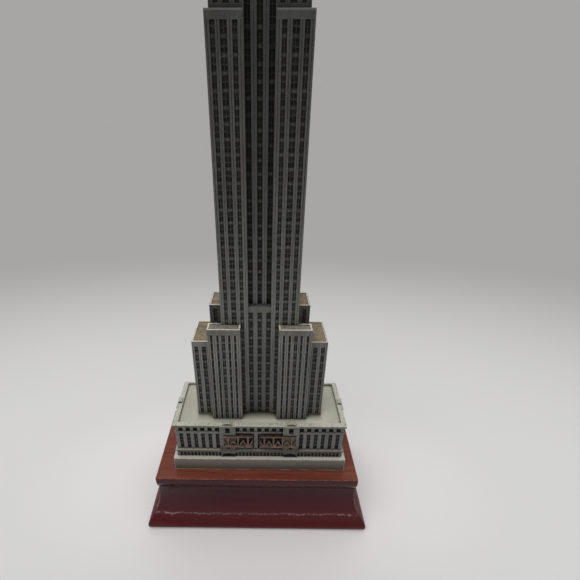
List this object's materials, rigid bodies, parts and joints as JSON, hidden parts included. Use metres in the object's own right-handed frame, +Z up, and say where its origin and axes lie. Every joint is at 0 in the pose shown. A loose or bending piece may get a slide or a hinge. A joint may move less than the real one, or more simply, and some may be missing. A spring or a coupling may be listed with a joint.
{
  "type": "miniature landmark tower model",
  "caption": "Miniature stepped art-deco skyscraper in grey cast resin with a bronze frieze, screwed to a moulded red-brown wooden plinth; a free-standing shelf ornament.",
  "frame": {"origin": "middle of the plinth's footprint, on the underside of the felt", "axes": "+Z up along the tower, +X to the right and +Y to the back as seen from the side with the bronze frieze"},
  "size_m": [0.09, 0.0456, 0.2539],
  "materials": {
    "wood": "gloss varnish",
    "felt": "matte",
    "steel": "satin",
    "resin": "matte",
    "resin_pale": "matte",
    "roof_tan": "matte",
    "bronze": "satin"
  },
  "bodies": {
    "root": {"felt_pad": "felt", "plinth_foot": "wood", "plinth_cove": "wood", "plinth_top": "wood", "fixing_screws": "steel", "screw_washers": "steel", "podium_slab": "resin_pale", "shopfront": "resin", "podium_walls": "resin", "podium_parapet": "resin_pale", "podium_roof": "resin_pale", "pavilion_front_left": "resin", "pavilion_front_right": "resin", "pavilion_back_left": "resin", "pavilion_back_right": "resin", "pavilion_side_left": "resin", "pavilion_side_right": "resin", "frieze_left": "bronze", "frieze_right": "bronze", "outer_wing_left": "resin", "outer_wing_right": "resin", "front_wing_left": "resin", "front_wing_right": "resin", "rear_wing_left": "resin", "rear_wing_right": "resin", "upper_block_left": "resin", "upper_block_right": "resin", "outer_roof_left": "roof_tan", "outer_roof_right": "roof_tan", "upper_roof_left": "roof_tan", "upper_roof_right": "roof_tan", "link_front": "resin", "link_rear": "resin", "shaft": "resin", "crown_lower": "resin", "crown_upper": "resin", "observation_deck": "resin", "mast_base": "resin", "mast": "resin", "mast_fins": "resin", "mast_lantern": "resin", "mast_cap": "resin", "needle": "steel"}
  },
  "joints": []
}
